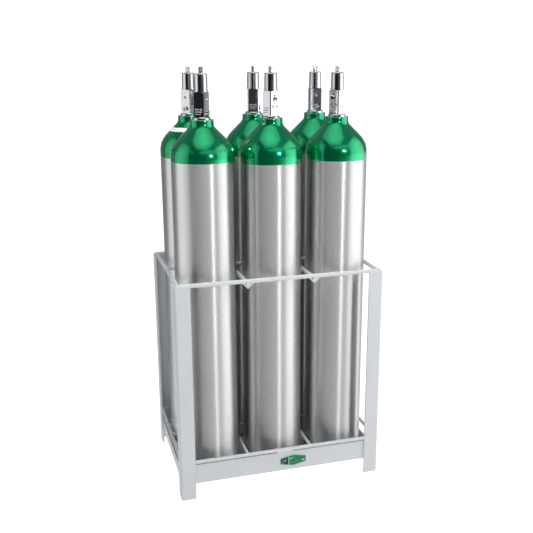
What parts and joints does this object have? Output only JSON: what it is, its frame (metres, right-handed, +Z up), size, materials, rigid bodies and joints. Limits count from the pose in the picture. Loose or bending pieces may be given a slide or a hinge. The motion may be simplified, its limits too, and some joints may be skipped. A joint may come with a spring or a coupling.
{
  "type": "medical oxygen cylinder rack",
  "caption": "White steel angle and rod rack on four posts, holding upright aluminium medical oxygen cylinders with green shoulders and post valves; each lifts out.",
  "frame": {"origin": "centre of the rack's footprint, on the floor", "axes": "+Z up, +X to the right along the front, +Y from the front to the rear, so the front faces -Y"},
  "size_m": [0.386, 0.262, 0.7715],
  "materials": {
    "rack_paint": "white powder coat, satin",
    "green_enamel": "green enamel, glossy, on the blank badge plate and over the shoulders and necks",
    "aluminium": "brushed wall; the shoulder and neck carry glossy green enamel above a level line",
    "chrome": "bright chrome plate",
    "steel": "bright ground steel",
    "brass": "bare brass"
  },
  "bodies": {
    "rack": {"post_front_left": "rack_paint", "post_front_right": "rack_paint", "post_rear_left": "rack_paint", "post_rear_right": "rack_paint", "top_rod_front": "rack_paint", "top_rod_rear": "rack_paint", "top_rod_left": "rack_paint", "top_rod_right": "rack_paint", "top_rod_middle": "rack_paint", "top_divider_left": "rack_paint", "top_divider_right": "rack_paint", "lower_rod_front": "rack_paint", "lower_rod_rear": "rack_paint", "lower_rod_left": "rack_paint", "lower_rod_right": "rack_paint", "lower_rod_middle": "rack_paint", "lower_divider_left": "rack_paint", "lower_divider_right": "rack_paint", "rail_front": "rack_paint", "rail_rear": "rack_paint", "rail_left": "rack_paint", "rail_right": "rack_paint", "floor_plate": "rack_paint", "badge_plate": "green_enamel"},
    "cylinder_front_left": {"cylinder_front_left_shell": "aluminium", "cylinder_front_left_valve_body": "chrome", "cylinder_front_left_bonnet": "chrome", "cylinder_front_left_relief_plug": "steel"},
    "stem_front_left": {"cylinder_front_left_stem": "steel"},
    "seat_plug_front_left": {"cylinder_front_left_seat_plug": "brass"},
    "cylinder_front_middle": {"cylinder_front_middle_shell": "aluminium", "cylinder_front_middle_valve_body": "chrome", "cylinder_front_middle_bonnet": "chrome", "cylinder_front_middle_relief_plug": "steel"},
    "stem_front_middle": {"cylinder_front_middle_stem": "steel"},
    "seat_plug_front_middle": {"cylinder_front_middle_seat_plug": "brass"},
    "cylinder_front_right": {"cylinder_front_right_shell": "aluminium", "cylinder_front_right_valve_body": "chrome", "cylinder_front_right_bonnet": "chrome", "cylinder_front_right_relief_plug": "steel"},
    "stem_front_right": {"cylinder_front_right_stem": "steel"},
    "seat_plug_front_right": {"cylinder_front_right_seat_plug": "brass"},
    "cylinder_rear_left": {"cylinder_rear_left_shell": "aluminium", "cylinder_rear_left_valve_body": "chrome", "cylinder_rear_left_bonnet": "chrome", "cylinder_rear_left_relief_plug": "steel"},
    "stem_rear_left": {"cylinder_rear_left_stem": "steel"},
    "seat_plug_rear_left": {"cylinder_rear_left_seat_plug": "brass"},
    "cylinder_rear_middle": {"cylinder_rear_middle_shell": "aluminium", "cylinder_rear_middle_valve_body": "chrome", "cylinder_rear_middle_bonnet": "chrome", "cylinder_rear_middle_relief_plug": "steel"},
    "stem_rear_middle": {"cylinder_rear_middle_stem": "steel"},
    "seat_plug_rear_middle": {"cylinder_rear_middle_seat_plug": "brass"},
    "cylinder_rear_right": {"cylinder_rear_right_shell": "aluminium", "cylinder_rear_right_valve_body": "chrome", "cylinder_rear_right_bonnet": "chrome", "cylinder_rear_right_relief_plug": "steel"},
    "stem_rear_right": {"cylinder_rear_right_stem": "steel"},
    "seat_plug_rear_right": {"cylinder_rear_right_seat_plug": "brass"}
  },
  "joints": [
    {"name": "lift_front_left", "type": "slide", "parent": "rack", "child": "cylinder_front_left", "axis": [0, 0, 1], "range_m": [0, 0.4]},
    {"name": "stem_turn_front_left", "type": "hinge", "parent": "cylinder_front_left", "child": "stem_front_left", "pos_m": [-0.1238, -0.0596, 0.75], "axis": [0, 0, 1], "range_deg": [0, 360]},
    {"name": "seat_lift_front_left", "type": "slide", "parent": "stem_front_left", "child": "seat_plug_front_left", "axis": [0, 0, 1], "range_m": [0, 0.0015]},
    {"name": "lift_front_middle", "type": "slide", "parent": "rack", "child": "cylinder_front_middle", "axis": [0, 0, 1], "range_m": [0, 0.4]},
    {"name": "stem_turn_front_middle", "type": "hinge", "parent": "cylinder_front_middle", "child": "stem_front_middle", "pos_m": [0, -0.0596, 0.75], "axis": [0, 0, 1], "range_deg": [0, 360]},
    {"name": "seat_lift_front_middle", "type": "slide", "parent": "stem_front_middle", "child": "seat_plug_front_middle", "axis": [0, 0, 1], "range_m": [0, 0.0015]},
    {"name": "lift_front_right", "type": "slide", "parent": "rack", "child": "cylinder_front_right", "axis": [0, 0, 1], "range_m": [0, 0.4]},
    {"name": "stem_turn_front_right", "type": "hinge", "parent": "cylinder_front_right", "child": "stem_front_right", "pos_m": [0.1238, -0.0596, 0.75], "axis": [0, 0, 1], "range_deg": [0, 360]},
    {"name": "seat_lift_front_right", "type": "slide", "parent": "stem_front_right", "child": "seat_plug_front_right", "axis": [0, 0, 1], "range_m": [0, 0.0015]},
    {"name": "lift_rear_left", "type": "slide", "parent": "rack", "child": "cylinder_rear_left", "axis": [0, 0, 1], "range_m": [0, 0.4]},
    {"name": "stem_turn_rear_left", "type": "hinge", "parent": "cylinder_rear_left", "child": "stem_rear_left", "pos_m": [-0.1238, 0.0596, 0.75], "axis": [0, 0, 1], "range_deg": [0, 360]},
    {"name": "seat_lift_rear_left", "type": "slide", "parent": "stem_rear_left", "child": "seat_plug_rear_left", "axis": [0, 0, 1], "range_m": [0, 0.0015]},
    {"name": "lift_rear_middle", "type": "slide", "parent": "rack", "child": "cylinder_rear_middle", "axis": [0, 0, 1], "range_m": [0, 0.4]},
    {"name": "stem_turn_rear_middle", "type": "hinge", "parent": "cylinder_rear_middle", "child": "stem_rear_middle", "pos_m": [0, 0.0596, 0.75], "axis": [0, 0, 1], "range_deg": [0, 360]},
    {"name": "seat_lift_rear_middle", "type": "slide", "parent": "stem_rear_middle", "child": "seat_plug_rear_middle", "axis": [0, 0, 1], "range_m": [0, 0.0015]},
    {"name": "lift_rear_right", "type": "slide", "parent": "rack", "child": "cylinder_rear_right", "axis": [0, 0, 1], "range_m": [0, 0.4]},
    {"name": "stem_turn_rear_right", "type": "hinge", "parent": "cylinder_rear_right", "child": "stem_rear_right", "pos_m": [0.1238, 0.0596, 0.75], "axis": [0, 0, 1], "range_deg": [0, 360]},
    {"name": "seat_lift_rear_right", "type": "slide", "parent": "stem_rear_right", "child": "seat_plug_rear_right", "axis": [0, 0, 1], "range_m": [0, 0.0015]}
  ],
  "couplings": [
    {"joint": "seat_lift_front_left", "follows": "stem_turn_front_left", "m_per_rad": 0.000238},
    {"joint": "seat_lift_front_middle", "follows": "stem_turn_front_middle", "m_per_rad": 0.000238},
    {"joint": "seat_lift_front_right", "follows": "stem_turn_front_right", "m_per_rad": 0.000238},
    {"joint": "seat_lift_rear_left", "follows": "stem_turn_rear_left", "m_per_rad": 0.000238},
    {"joint": "seat_lift_rear_middle", "follows": "stem_turn_rear_middle", "m_per_rad": 0.000238},
    {"joint": "seat_lift_rear_right", "follows": "stem_turn_rear_right", "m_per_rad": 0.000238}
  ]
}
